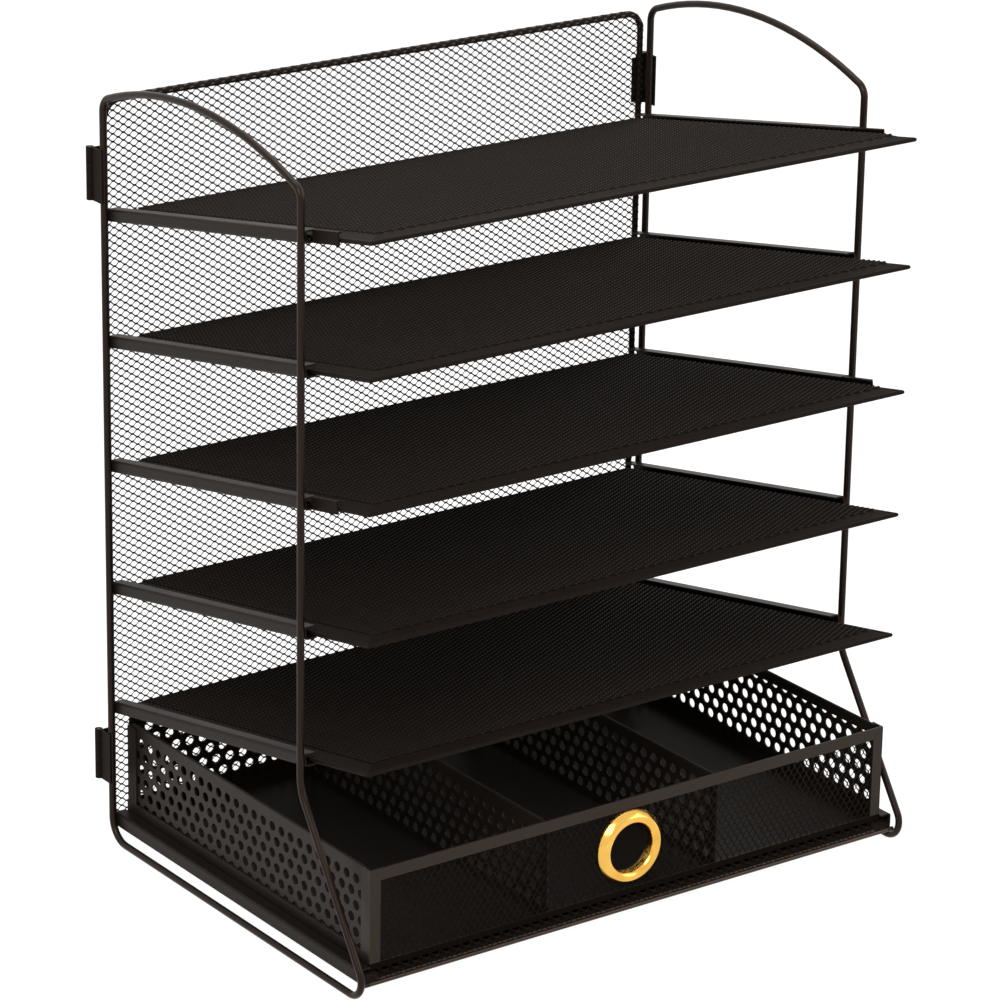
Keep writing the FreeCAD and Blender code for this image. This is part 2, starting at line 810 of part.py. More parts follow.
def make_base_hook(name, side):
    """Carries the lip's bead on to the leg, in front of the channel's end."""
    body = new_body("base_" + name + "_hook")
    length = post_inner_x - s.slide_gap - s.tray_half_width
    start = s.tray_half_width if side > 0 else -s.tray_half_width - length
    section = new_sketch(body, "hook_section", "YZ_Plane", start)
    add_circle(section, (-s.lip_bead_reach, s.lip_bead_height), s.lip_bead_radius)
    pad(body, "hook", section, length)
    move_body(body, ZERO, rear_y, ZERO)


def make_base_tray_mesh():
    """The base net, held against the underside of the lips."""
    half = float(bead_x - s.band_slope_end)
    front = -float(s.lip_bead_reach - s.band_width)
    rear = -float(tray_rear + s.band_slope_end)
    lip = float(s.band_width - s.band_slope_end)
    outline = rectangle_wire(-half, half, front, rear)
    holes = diamond_holes(-half + lip, half - lip, front + lip, rear - lip,
                          int(float(s.tray_net_columns)), int(float(s.tray_net_rows)),
                          float(s.net_strand))
    thing = feature_from(holed_plate(outline, holes, float(s.mesh_gauge)), "base_tray_mesh")
    low = base_lip_z - half_gauge - s.mesh_gauge
    thing.Placement = FreeCAD.Placement(Vector(0, float(rear_y), float(low)), FreeCAD.Rotation())


# Drawer. Lengths run forward from the rear post.

pan_top = pan_bottom + s.sheet_gauge
wall_outer_x = s.drawer_half_width - s.sheet_gauge
wall_inner_x = wall_outer_x - s.sheet_gauge
plate_back_reach = s.drawer_front_reach - s.front_plate
back_wall_outer = s.drawer_rear_gap + s.sheet_gauge
back_wall_inner = back_wall_outer + s.sheet_gauge


def make_drawer_pan():
    body = new_body("drawer_pan")
    floor = new_sketch(body, "floor_outline", "XY_Plane", pan_bottom)
    add_outline(floor, rectangle(-s.drawer_half_width, s.drawer_half_width,
                                 -plate_back_reach, -s.drawer_rear_gap))
    pad(body, "floor", floor, s.sheet_gauge)
    for name, x0, x1, y0 in (
        ("left_rim", -s.drawer_half_width, -wall_outer_x, -plate_back_reach),
        ("right_rim", wall_outer_x, s.drawer_half_width, -plate_back_reach),
        ("rear_rim", -s.drawer_half_width, s.drawer_half_width, -back_wall_outer),
    ):
        rim = new_sketch(body, name + "_outline", "XY_Plane", pan_top)
        add_outline(rim, rectangle(x0, x1, y0, -s.drawer_rear_gap))
        pad(body, name, rim, s.pan_rim_height)
    move_body(body, ZERO, rear_y, ZERO)


def staggered_holes(x0, x1, low, first_row):
    """Round holes in staggered rows, from the first row down to the pan's floor."""
    pitch, radius = float(s.hole_pitch), float(s.hole_radius)
    row_pitch = pitch * math.sqrt(3) / 2
    columns = int((x1 - x0 - 2 * float(s.hole_margin)) / pitch)
    start = (x0 + x1 - columns * pitch) / 2
    rows = int((first_row - radius - low - float(s.sheet_gauge)) / row_pitch) + 1
    holes = []
    for row in range(rows):
        inset = (row + 1) % 2
        for column in range(columns + 1 - inset):
            x = start + (column + inset / 2) * pitch
            holes.append(circle_wire(x, first_row - row * row_pitch, radius))
    return holes


def wall_outline(x0, x1, low, high, corner):
    """A rectangle with its two upper corners rounded."""
    bend = corner * (1 - math.sqrt(HALF_SHARE))
    right = Part.Arc(Vector(x1, high - corner, 0), Vector(x1 - bend, high - bend, 0),
                     Vector(x1 - corner, high, 0))
    left = Part.Arc(Vector(x0 + corner, high, 0), Vector(x0 + bend, high - bend, 0),
                    Vector(x0, high - corner, 0))
    return Part.Wire([
        line_edge(Vector(x0, low, 0), Vector(x1, low, 0)),
        line_edge(Vector(x1, low, 0), Vector(x1, high - corner, 0)),
        right.toShape(),
        line_edge(Vector(x1 - corner, high, 0), Vector(x0 + corner, high, 0)),
        left.toShape(),
        line_edge(Vector(x0, high - corner, 0), Vector(x0, low, 0)),
    ])


def perforated_wall(x0, x1, top, drop):
    """A wall in its own plane, x along it and y up from the pan, z to the hemmed side."""
    low = float(pan_top)
    gauge = float(s.sheet_gauge)
    corner = float(s.wall_corner_radius)
    edge = top - gauge
    plate = holed_plate(wall_outline(x0, x1, low, edge, corner - gauge),
                        staggered_holes(x0, x1, low, top - drop), gauge)
    start, length = x0 + corner, x1 - x0 - 2 * corner
    roll = Part.makeCylinder(gauge, length, Vector(start, edge, gauge), Vector(1, 0, 0))
    fold = float(s.hem_depth) - gauge
    flap = Part.makeBox(length, fold, gauge, Vector(start, edge - fold, gauge))
    return plate.multiFuse([roll, flap]).removeSplitter()


def make_left_facing_wall(label, x, top, drop):
    """A wall from front to back with its outer face at x, hemmed towards the right."""
    front, back = float(plate_back_reach - s.mesh_gauge), float(back_wall_inner)
    thing = feature_from(perforated_wall(-front, -back, top, drop), label)
    along = FreeCAD.Rotation(Vector(0, 1, 0), Vector(0, 0, 1), Vector(1, 0, 0))
    thing.Placement = FreeCAD.Placement(Vector(x, float(rear_y), 0), along)


def make_right_facing_wall(label, x, top, drop):
    """A wall from front to back with its outer face at x, hemmed towards the left."""
    front, back = float(plate_back_reach - s.mesh_gauge), float(back_wall_inner)
    thing = feature_from(perforated_wall(back, front, top, drop), label)
    along = FreeCAD.Rotation(Vector(0, -1, 0), Vector(0, 0, 1), Vector(-1, 0, 0))
    thing.Placement = FreeCAD.Placement(Vector(x, float(rear_y), 0), along)


def make_back_wall():
    """The taller back wall, folded forwards a little outside both side walls."""
    half = float(wall_outer_x)
    low = float(pan_top + s.pan_rim_height)
    height = float(s.drawer_top - s.rear_return_drop) - low
    depth = float(s.rear_return - back_wall_outer)
    gauge = float(s.sheet_gauge)
    wall = perforated_wall(-half, half, float(s.drawer_back_top), float(s.hole_drop))
    left = Part.makeBox(gauge, height, depth, Vector(-half - gauge, low, 0))
    right = Part.makeBox(gauge, height, depth, Vector(half, low, 0))
    thing = feature_from(wall.multiFuse([left, right]).removeSplitter(), "drawer_back_wall")
    across = FreeCAD.Rotation(Vector(1, 0, 0), Vector(0, 0, 1), Vector(0, -1, 0))
    place = Vector(0, float(rear_y - back_wall_outer), 0)
    thing.Placement = FreeCAD.Placement(place, across)


def make_drawer_walls():
    side = float(wall_outer_x)
    offset = float(s.divider_offset)
    top, divider_top = float(s.drawer_top), float(s.divider_top)
    drop = float(s.hole_drop)
    make_left_facing_wall("drawer_left_wall", -side, top, drop)
    make_right_facing_wall("drawer_right_wall", side, top, float(s.right_wall_hole_drop))
    make_left_facing_wall("drawer_left_divider", -offset, divider_top, drop)
    make_right_facing_wall("drawer_right_divider", offset, divider_top, drop)
    make_back_wall()


def make_drawer_front_frame():
    """Mitred flat bands round the front net, folded back a little at both sides."""
    body = new_body("drawer_front_frame")
    half = s.drawer_half_width
    bands = new_sketch(body, "band_outline", "XZ_Plane", plate_back_reach)
    add_outline(bands, rectangle(-half, half, pan_bottom, s.drawer_top))
    window_x = half - s.front_side_band
    add_outline(bands, rectangle(-window_x, window_x, pan_bottom + s.front_bottom_band,
                                 s.drawer_top - s.front_top_band))
    pad(body, "bands", bands, s.front_plate)
    return_low = pan_top + s.pan_rim_height
    for name, x0, x1 in (("left_return", -half, -wall_outer_x), ("right_return", wall_outer_x, half)):
        fold = new_sketch(body, name + "_outline", "XY_Plane", return_low)
        add_outline(fold, rectangle(x0, x1, -plate_back_reach,
                                    -plate_back_reach + s.front_return))
        pad(body, name, fold, s.drawer_top - return_low)
    move_body(body, ZERO, rear_y, ZERO)


def make_drawer_front_mesh():
    """The front net between the bands, holed for the ring's collar."""
    half = float(s.drawer_half_width - s.front_side_band)
    low = float(pan_bottom + s.front_bottom_band)
    high = float(s.drawer_top - s.front_top_band)
    strand = float(s.front_net_strand)
    ring_x, ring_z = float(s.ring_offset), float(s.ring_height)
    collar = float(s.ring_bore_radius + s.collar_wall + s.collar_clearance)
    holes = diamond_holes(-half + strand, half - strand, low + strand, high - strand,
                          int(float(s.front_net_columns)), int(float(s.front_net_rows)),
                          strand, clear_of=(ring_x, ring_z, collar + strand))
    holes.append(circle_wire(ring_x, ring_z, collar))
    plate = holed_plate(rectangle_wire(-half, half, low, high), holes, float(s.mesh_gauge))
    thing = feature_from(plate, "drawer_front_mesh")
    upright = FreeCAD.Rotation(Vector(1, 0, 0), Vector(0, 0, 1), Vector(0, -1, 0))
    place = Vector(0, float(rear_y - plate_back_reach), 0)
    thing.Placement = FreeCAD.Placement(place, upright)


def place_ring_piece(body, reach):
    """Turns a piece's own Z to the front and puts its Z = 0 at a reach from the rear post."""
    body.Placement.Rotation = FreeCAD.Rotation(Vector(1, 0, 0), 90)
    move_body(body, s.ring_offset, rear_y - reach, s.ring_height)


def make_finger_ring():
    """A stout rounded grommet: flange in front of the net, collar through it."""
    body = new_body("finger_ring")
    collar_back = -s.mesh_gauge - s.washer_gauge
    section = new_sketch(body, "ring_section", "XZ_Plane")
    collar_x = s.ring_bore_radius + s.collar_wall
    add_outline(section, [
        (s.ring_bore_radius, collar_back), (collar_x, collar_back), (collar_x, ZERO),
        (s.ring_outer_radius, ZERO), (s.ring_outer_radius, s.ring_depth),
        (s.ring_bore_radius, s.ring_depth),
    ])
    ring = body.newObject("PartDesign::Revolution", "ring")
    ring.Profile = section
    ring.ReferenceAxis = (section, ["V_Axis"])
    ring.Angle = 360
    doc.recompute()
    rounded = []
    for i, edge in enumerate(ring.Shape.Edges, start=1):
        if isinstance(edge.Curve, Part.Circle) and edge.Curve.Center.z > s.ring_depth.value / 2:
            rounded.append("Edge" + str(i))
    fillet = body.newObject("PartDesign::Fillet", "rounded_rim")
    fillet.Base = (ring, rounded)
    fillet.Radius = s.ring_round.value
    fillet.setExpression("Radius", s.ring_round.text)
    place_ring_piece(body, plate_back_reach + s.mesh_gauge)


def make_ring_washer():
    body = new_body("ring_washer")
    disc = new_sketch(body, "washer_outline", "XY_Plane")
    add_circle(disc, (ZERO, ZERO), s.washer_radius)
    add_circle(disc, (ZERO, ZERO), s.ring_bore_radius + s.collar_wall + s.collar_clearance)
    pad(body, "washer", disc, s.washer_gauge)
    place_ring_piece(body, plate_back_reach - s.washer_gauge)


def check_and_write():
    doc.recompute()
    faults = []
    for thing in doc.Objects:
        if "Invalid" in thing.State or "Error" in thing.State:
            faults.append(thing.Label + " " + str(thing.State))
    for thing in subparts:
        shape = thing.Shape
        if shape.isNull() or not shape.isValid() or len(shape.Solids) != 1:
            faults.append(thing.Label + " shape")
    if faults:
        raise RuntimeError("failed: " + "; ".join(faults))
    os.makedirs("parts", exist_ok=True)
    for thing in subparts:
        thing.Shape.exportStep("parts/" + thing.Label + ".step")
    print(len(subparts), "sub-parts written")


make_back_frame_wire()
make_back_mesh()
for frame_name, frame_side in (("left", -1), ("right", 1)):
    make_side_wire(frame_name, frame_side)
    make_hinges(frame_name, frame_side)
    for tray_level in range(1, TRAYS + 1):
        make_rail(frame_name, frame_side, tray_level)
    make_base_rail(frame_name, frame_side)
    make_base_hook(frame_name, frame_side)
for tray_level in range(1, TRAYS + 1):
    make_tray_rim(tray_level)
    make_tray_mesh(tray_level)
for tray_level in (1, 3):
    make_stop_tab(tray_level, "left", -1)
    make_stop_tab(tray_level, "right", 1)
make_base_tray_rim()
make_base_front_lip()
make_base_tray_mesh()
make_drawer_pan()
make_drawer_walls()
make_drawer_front_frame()
make_drawer_front_mesh()
make_finger_ring()
make_ring_washer()
check_and_write()
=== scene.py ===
import math

import bmesh
import bpy
from mathutils import Matrix, Vector


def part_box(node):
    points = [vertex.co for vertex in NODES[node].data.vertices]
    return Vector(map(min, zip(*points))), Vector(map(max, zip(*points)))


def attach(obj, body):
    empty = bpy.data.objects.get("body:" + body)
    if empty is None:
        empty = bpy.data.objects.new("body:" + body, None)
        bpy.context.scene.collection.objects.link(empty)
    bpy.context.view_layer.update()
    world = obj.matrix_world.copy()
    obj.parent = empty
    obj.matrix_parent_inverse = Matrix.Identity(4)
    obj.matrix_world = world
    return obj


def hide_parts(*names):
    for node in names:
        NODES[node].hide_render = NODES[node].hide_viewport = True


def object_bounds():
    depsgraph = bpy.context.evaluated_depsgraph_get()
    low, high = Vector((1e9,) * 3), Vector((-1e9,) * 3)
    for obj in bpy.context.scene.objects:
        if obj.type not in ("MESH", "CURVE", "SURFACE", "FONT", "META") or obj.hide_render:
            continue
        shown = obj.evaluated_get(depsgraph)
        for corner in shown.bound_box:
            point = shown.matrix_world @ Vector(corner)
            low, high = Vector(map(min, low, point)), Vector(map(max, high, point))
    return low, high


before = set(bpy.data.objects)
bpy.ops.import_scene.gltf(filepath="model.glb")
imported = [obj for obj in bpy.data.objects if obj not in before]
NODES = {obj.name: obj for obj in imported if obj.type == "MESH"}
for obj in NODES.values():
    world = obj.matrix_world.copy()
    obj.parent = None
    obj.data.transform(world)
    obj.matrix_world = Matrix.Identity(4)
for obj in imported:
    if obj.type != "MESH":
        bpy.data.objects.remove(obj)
cad_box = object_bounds()

MM = 0.001
TRAYS = range(1, 6)
SLOPE = math.radians(10.87)

# The expanded metal: its cells, the thin leaning strands that make them, how near two ends are
# merged, and the most sides that a strand's cut end has.
CELL_WIDE, CELL_HIGH = 5.92 * MM, 3.93 * MM
NET_STRAND, NET_GAUGE = 0.76 * MM, 0.42 * MM
NET_LEAN = 0.62
NET_BOND = 1.2 * MM
NET_STEP = 0.2 * MM
NET_MERGE = NET_STRAND / 20
END_SIDES = 12

# The hinge leaves' margins behind the panel's net, and how far each side's shows past the wire.
WING_REACH = {"left": 0.8 * MM, "right": 2.4 * MM}
WING_GAUGE = 0.8 * MM
WING_SHARE = 0.9

# The base tray's front lip: the radius of its bead, where its slope starts and ends, how far its
# net lies off it, and a height that is clear of it.
LIP_BEAD = 1.1 * MM
LIP_ROOT, LIP_SLOPE_END = 1.0 * MM, 6.5 * MM
LIP_NET_LIFT = 0.2 * MM
ABOVE_LIP = 100 * MM

# The cheeks at the lip's ends.
CHEEK_REACH, CHEEK_GAP = 7.0 * MM, 0.3 * MM
CHEEK_GAUGE, CHEEK_ROUND = 0.6 * MM, 0.2 * MM

# The panel: its net's cut corners, its frame wire's bends, and how the net is rolled round it.
NET_CORNER = 4.4 * MM
PANEL_BEND = 9.0 * MM
WRAP_TURN = math.radians(265)
WRAP_MIDDLE = math.radians(15)
WRAP_LIFT = 0.28 * MM
WRAP_FLAT = 0.6

# The sleeve under the rolled net: how far out it lies and how thick it is, as shares of the lift,
# and its faces along and round the wire.
SLEEVE_OUT_SHARE, SLEEVE_THICK_SHARE = 0.9, 0.5
SLEEVE_LONG, SLEEVE_ROUND = 160, 14

# The gauge of the CAD's plates in the sloping trays.
TRAY_PLATE = 0.8 * MM

# The finger ring: its walls, the steps of its turn, the room that the front net leaves it, and how
# squarely a face looks ahead that is shaded flat.
RING_WALL, COLLAR_WALL = 7.1 * MM, 1.2 * MM
RING_STEPS = 96
RING_ROOM = 14.5 * MM
FLAT_FACING = 0.999

# Its face: millimetres in from the rim or out from the bore, each with a share of the depth.
RING_RIM_SHARES = ((0, 0), (0, 0.16), (0.3, 0.30), (2.3, 0.86), (2.8, 0.95), (3.4, 1.0),
                   (4.4, 0.98))
RING_BORE_SHARES = ((1.6, 0.92), (0.7, 0.72), (0.2, 0.40), (0, 0))

# The steel's paint: how fine its mottling, its orange peel and its specks are.
MOTTLE_GRAIN, PEEL_GRAIN, SPECK_GRAIN = 18.0, 900.0, 3200.0
PEEL_STRENGTH, PEEL_DEPTH = 0.18, 0.00012
WARM_SHINE = (1.0, 0.77, 0.61, 1)
# Painted shade: the black that stands in for the shade on the stretches that lie in shadow, below
# the drawer front and on the lip's slope.
PAINTED_SHADE_BLACK = (0.005, 0.0036, 0.003, 1)

# The gold: how fine its smudges and its turning marks are.
SMUDGE_GRAIN, TURNING_GRAIN = 90.0, 1500.0
TURNING_STRENGTH, TURNING_DEPTH = 0.05, 0.00005
GOLD_DEEP, GOLD_PALE = (0.66, 0.34, 0.050, 1), (0.93, 0.58, 0.135, 1)

# The studio: the floor, its glow and how much of that shows, and how brightly the world lights the
# organizer and shows behind it.
WHITE = (1, 1, 1, 1)
FLOOR_HALF = 12.0
FLOOR_GRAIN = 3.0
FLOOR_GREY, FLOOR_PALE = (0.80, 0.80, 0.80, 1), (0.82, 0.82, 0.82, 1)
FLOOR_GLOW, FLOOR_SEEN_SHARE = 1.3, 0.75
SOFT_WORLD, WHITE_WORLD = 0.3, 1.05

# The lamps: name, place, size and watts, and the point that they all face.
LAMPS = (
    ("key_light", (-1.6, -1.2, 1.9), (1.4, 1.2), 42.0),
    ("fill_light", (1.7, -1.5, 1.2), (1.6, 1.4), 18.0),
    ("top_light", (0.0, 0.4, 2.2), (1.8, 1.4), 22.0),
)
LAMP_AIM = Vector((0, 0, 0.2))

# The camera: its place, its turns in radians, and its lens as a multiple of the sensor.
EYE = Vector((-1.26238, -1.72318, 0.96638))
YAW, PITCH, ROLL = 0.6305, 0.3514, 0.0169
SENSOR, LENS_SHARE = 36.0, 4.6005
CLIP_NEAR, CLIP_FAR = 0.05, 60.0


# Node trees


class Value:
    """A number that varies over a surface: arithmetic on it adds Math nodes."""

    def __init__(self, tree, socket):
        self.tree = tree
        self.socket = socket

    def math(self, operation, first, second):
        inputs = {0: first, 1: second}
        return self.tree.add("ShaderNodeMath", {"operation": operation}, inputs)[0]

    def __add__(self, other):
        return self.math("ADD", self, other)

    def __radd__(self, other):
        return self.math("ADD", other, self)

    def __sub__(self, other):
        return self.math("SUBTRACT", self, other)

    def __rsub__(self, other):
        return self.math("SUBTRACT", other, self)

    def __mul__(self, other):
        return self.math("MULTIPLY", self, other)

    def __rmul__(self, other):
        return self.math("MULTIPLY", other, self)


class Outputs:
    """The outputs of a node, by name or number."""

    def __init__(self, tree, node):
        self.tree = tree
        self.node = node

    def __getitem__(self, key):
        return Value(self.tree, self.node.outputs[key])


class Tree:
    """A node tree and the nodes that are added to it."""

    def __init__(self, node_tree):
        self.nodes = node_tree.nodes
        self.links = node_tree.links

    def join(self, value, socket):
        if isinstance(value, Value):
            self.links.new(value.socket, socket)
        else:
            socket.default_value = value

    def add(self, kind, settings, inputs):
        """A node of a type, with its settings set first, then its sockets."""
        node = self.nodes.new(kind)
        for key, value in settings.items():
            setattr(node, key, value)
        for key, value in inputs.items():
            self.join(value, node.inputs[key])
        return Outputs(self, node)

    def seen(self):
        """One for rays from the camera, off a gloss or through glass, and nought for others."""
        ray = self.add("ShaderNodeLightPath", {}, {})
        direct = ray["Is Camera Ray"]
        either = direct.math("MAXIMUM", direct, ray["Is Glossy Ray"])
        return either.math("MAXIMUM", either, ray["Is Transmission Ray"])


class Paint(Tree):
    """A material with its shader and the nodes that feed it."""

    def __init__(self, name):
        self.material = bpy.data.materials.new(name)
        self.material.use_nodes = True
        super().__init__(self.material.node_tree)
        self.shader = self.nodes["Principled BSDF"]

    def surface(self, **sockets):
        for name, value in sockets.items():
            self.join(value, self.shader.inputs[name.replace("_", " ")])

    def place(self):
        return self.add("ShaderNodeTexCoord", {}, {})["Object"]

    def noise(self, scale, detail=2.0):
        inputs = {"Vector": self.place(), "Scale": scale, "Detail": detail}
        return self.add("ShaderNodeTexNoise", {}, inputs)["Fac"]

    def blend(self, factor, first, second):
        inputs = {"Factor": factor, 6: first, 7: second}
        return self.add("ShaderNodeMix", {"data_type": "RGBA"}, inputs)[2]

    def bump(self, height, strength, distance):
        inputs = {"Height": height, "Strength": strength, "Distance": distance}
        return self.add("ShaderNodeBump", {}, inputs)["Normal"]


# Materials


def coated_steel(name, dark, light, roughness, shine, painted_shade_heights=None):
    """Baked-on semi-gloss black paint: a fine orange peel with slightly uneven gloss.

    Between the two heights, if given, the colour is painted shade: black, and metallic so that it
    takes no diffuse light.
    """
    paint = Paint(name)
    mottle = paint.noise(MOTTLE_GRAIN)
    peel = paint.noise(PEEL_GRAIN, 1.0)
    speck = paint.noise(SPECK_GRAIN, 1.0)
    colour = paint.blend(mottle * 0.7 + speck * 0.3, dark, light)
    # Painted shade: between the heights the colour turns black, and Metallic turns on so that it
    # takes no diffuse light.
    if painted_shade_heights is not None:
        low, high = painted_shade_heights
        height = paint.add("ShaderNodeSeparateXYZ", {}, {"Vector": paint.place()})["Z"]
        painted_shade = height.math("GREATER_THAN", height, low) * height.math("LESS_THAN", height, high)
        colour = paint.blend(painted_shade, colour, PAINTED_SHADE_BLACK)
        paint.surface(Metallic=painted_shade)
    paint.surface(
        Base_Color=colour,
        Roughness=roughness + (mottle - 0.5) * 0.12 + (speck - 0.5) * 0.1,
        Normal=paint.bump(peel + speck * 0.4, PEEL_STRENGTH, PEEL_DEPTH),
        Specular_IOR_Level=shine,
        Specular_Tint=WARM_SHINE,
    )
    return paint.material


def gold_metal(name):
    """Polished gold-toned metal with hair-fine turning marks and faint smudges."""
    paint = Paint(name)
    smudge = paint.noise(SMUDGE_GRAIN)
    fine = paint.noise(TURNING_GRAIN)
    paint.surface(
        Base_Color=paint.blend(smudge, GOLD_DEEP, GOLD_PALE),
        Metallic=1.0,
        Roughness=0.17 + (smudge - 0.5) * 0.1 + (fine - 0.5) * 0.06,
        Normal=paint.bump(fine, TURNING_STRENGTH, TURNING_DEPTH),
    )
    return paint.material


FRAME_DARK, FRAME_LIGHT = (0.0090, 0.0054, 0.0042, 1), (0.0150, 0.0092, 0.0072, 1)
SHEET_DARK, SHEET_LIGHT = (0.008, 0.0058, 0.0044, 1), (0.013, 0.0094, 0.0072, 1)
WALL_DARK, WALL_LIGHT = (0.010, 0.0073, 0.0056, 1), (0.015, 0.0110, 0.0084, 1)
RIM_DARK, RIM_LIGHT = (0.008, 0.0054, 0.0042, 1), (0.012, 0.0082, 0.0064, 1)
NET_DARK, NET_LIGHT = (0.006, 0.0046, 0.0038, 1), (0.010, 0.0076, 0.0062, 1)
# The net's rolled margin: glossier than the net's paint, and lighter as painted highlight on its
# strands.
EDGE_DARK, EDGE_LIGHT = (0.030, 0.0230, 0.0185, 1), (0.045, 0.0345, 0.0280, 1)
FRONT_DARK, FRONT_LIGHT = (0.014, 0.0102, 0.0078, 1), (0.021, 0.0152, 0.0116, 1)

# The stretches painted black as shade, as heights: the drawer front's lower band, and the lip's
# slope, which lie in shadow under the drawer.
FRONT_PAINTED_SHADE = (0.0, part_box("drawer_front_mesh")[0].z)
LIP_PAINTED_SHADE = (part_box("base_front_lip")[0].z + 2 * LIP_BEAD, ABOVE_LIP)

FRAME_BLACK = coated_steel("frame_black", FRAME_DARK, FRAME_LIGHT, 0.3, 0.17)
SHEET_BLACK = coated_steel("sheet_black", SHEET_DARK, SHEET_LIGHT, 0.4, 0.11)
WALL_BLACK = coated_steel("wall_black", WALL_DARK, WALL_LIGHT, 0.42, 0.16)
RIM_BLACK = coated_steel("rim_black", RIM_DARK, RIM_LIGHT, 0.5, 0.05)
NET_BLACK = coated_steel("net_black", NET_DARK, NET_LIGHT, 0.48, 0.07)
EDGE_HIGHLIGHT_PAINT = coated_steel("edge_highlight_paint", EDGE_DARK, EDGE_LIGHT, 0.3, 0.6)
# The drawer front's paint and the lip's paint carry painted shade on those stretches.
FRONT_BLACK = coated_steel("front_black", FRONT_DARK, FRONT_LIGHT, 0.42, 0.22, FRONT_PAINTED_SHADE)
LIP_BLACK = coated_steel("lip_black", FRAME_DARK, FRAME_LIGHT, 0.3, 0.4, LIP_PAINTED_SHADE)
RING_GOLD = gold_metal("ring_gold")

NODE_FINISHES = {
    "finger_ring": RING_GOLD,
    "base_front_lip": LIP_BLACK,
    "drawer_front_frame": FRONT_BLACK,
    "base_tray_rim": SHEET_BLACK,
}
ENDING_FINISHES = {
    "_mesh": NET_BLACK,
    "_wall": WALL_BLACK,
    "_divider": WALL_BLACK,
    "_leaf": RIM_BLACK,
}


def node_finish(name):
    """The finish of a carried-over node, by its name."""
    if name in NODE_FINISHES:
        return NODE_FINISHES[name]
    for ending, finish in ENDING_FINISHES.items():
        if name.endswith(ending):
            return finish
    if name.startswith("tray_"):
        return RIM_BLACK
    if name.startswith("drawer_") or "_rail" in name:
        return SHEET_BLACK
    return FRAME_BLACK


def paint_nodes():
    """Each carried-over node gets its finish."""
    for name, piece in NODES.items():
        piece.data.materials.clear()
        piece.data.materials.append(node_finish(name))


# Making pieces


def mesh_from(bm, name):
    """Turns a bmesh into a mesh."""
    mesh = bpy.data.meshes.new(name)
    bm.to_mesh(mesh)
    bm.free()
    return mesh


def put_in(name, data):
    """Puts a new object with the data into the scene."""
    thing = bpy.data.objects.new(name, data)
    bpy.context.scene.collection.objects.link(thing)
    return thing


def new_piece(name, bm, material, body, replaced=()):
    """Turns a bmesh into a piece that rides on a body and stands for the nodes named."""
    piece = put_in(name, mesh_from(bm, name))
    piece.data.materials.append(material)
    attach(piece, body)
    if replaced:
        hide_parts(*replaced)


def middle(node):
    """The middle of a node's box."""
    low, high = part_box(node)
    return (low + high) / 2


def turn_faces_outwards(bm):
    bmesh.ops.recalc_face_normals(bm, faces=bm.faces)


def bevelled_plate(size, rounding):
    """A centred flat plate with softened edges, in a bmesh."""
    bm = bmesh.new()
    bmesh.ops.create_cube(bm, size=1.0)
    bmesh.ops.scale(bm, vec=size, verts=bm.verts)
    bmesh.ops.bevel(bm, geom=bm.edges[:], offset=rounding, segments=2, profile=0.5,
                    affect="EDGES", material=-1)
    return bm


def strand_cell(cell_wide, cell_high):
    """One cell's two zigzag strands, side by side along short bonds, all leaning one way."""
    bm = bmesh.new()
    tilt = Matrix.Rotation(NET_LEAN, 4, "X")
    sides = ((-1, -1), (1, -1), (1, 1), (-1, 1))
    corners = [tilt @ Vector((0, y * NET_STRAND / 2, z * NET_GAUGE / 2)) for y, z in sides]
    apart = Vector((0, NET_STEP, NET_STEP * math.tan(NET_LEAN)))
    for turn in (1, -1):
        ring = [bm.verts.new(corner + apart * turn) for corner in corners]
        edges = [bm.edges.new((ring[i], ring[(i + 1) % 4])) for i in range(4)]
        out = Vector((cell_wide / 2 - NET_BOND, turn * cell_high / 2, 0)) - apart * 2 * turn
        home = Vector((out.x, -out.y, -out.z))
        bond = Vector((NET_BOND, 0, 0))
        for step in (bond, out, bond, home):
            made = bmesh.ops.extrude_edge_only(bm, edges=edges)["geom"]
            verts = [item for item in made if isinstance(item, bmesh.types.BMVert)]
            edges = [item for item in made if isinstance(item, bmesh.types.BMEdge)]
            bmesh.ops.translate(bm, verts=verts, vec=step)
    return bm


def strand_net(wide, high):
    """A centred rectangle of expanded metal, in a bmesh, lying in the XY plane."""
    columns = max(1, round(wide / CELL_WIDE))
    rows = max(1, round(high / CELL_HIGH))
    fit_wide, fit_high = wide / columns, high / rows
    cell = mesh_from(strand_cell(fit_wide, fit_high), "cell")
    pattern = put_in("cell", cell)
    for count, offset in ((columns, (fit_wide, 0, 0)), (rows, (0, fit_high, 0))):
        array = pattern.modifiers.new("repeat", "ARRAY")
        array.count = count
        array.use_relative_offset = False
        array.use_constant_offset = True
        array.constant_offset_displace = offset
        array.use_merge_vertices = offset[0] > 0
        array.merge_threshold = NET_MERGE
    bpy.context.view_layer.update()
    made = bpy.data.meshes.new_from_object(
        pattern.evaluated_get(bpy.context.evaluated_depsgraph_get()))
    bm = bmesh.new()
    bm.from_mesh(made)
    bpy.data.objects.remove(pattern)
    bpy.data.meshes.remove(cell)
    bpy.data.meshes.remove(made)
    bmesh.ops.translate(bm, verts=bm.verts, vec=(-wide / 2, -high / 2 + fit_high / 2, 0))
    return bm


def close_ends(bm):
    """Caps the cut ends of the strands and turns the faces outwards."""
    open_edges = [edge for edge in bm.edges if edge.is_boundary]
    bmesh.ops.holes_fill(bm, edges=open_edges, sides=END_SIDES)
    turn_faces_outwards(bm)


# The back panel


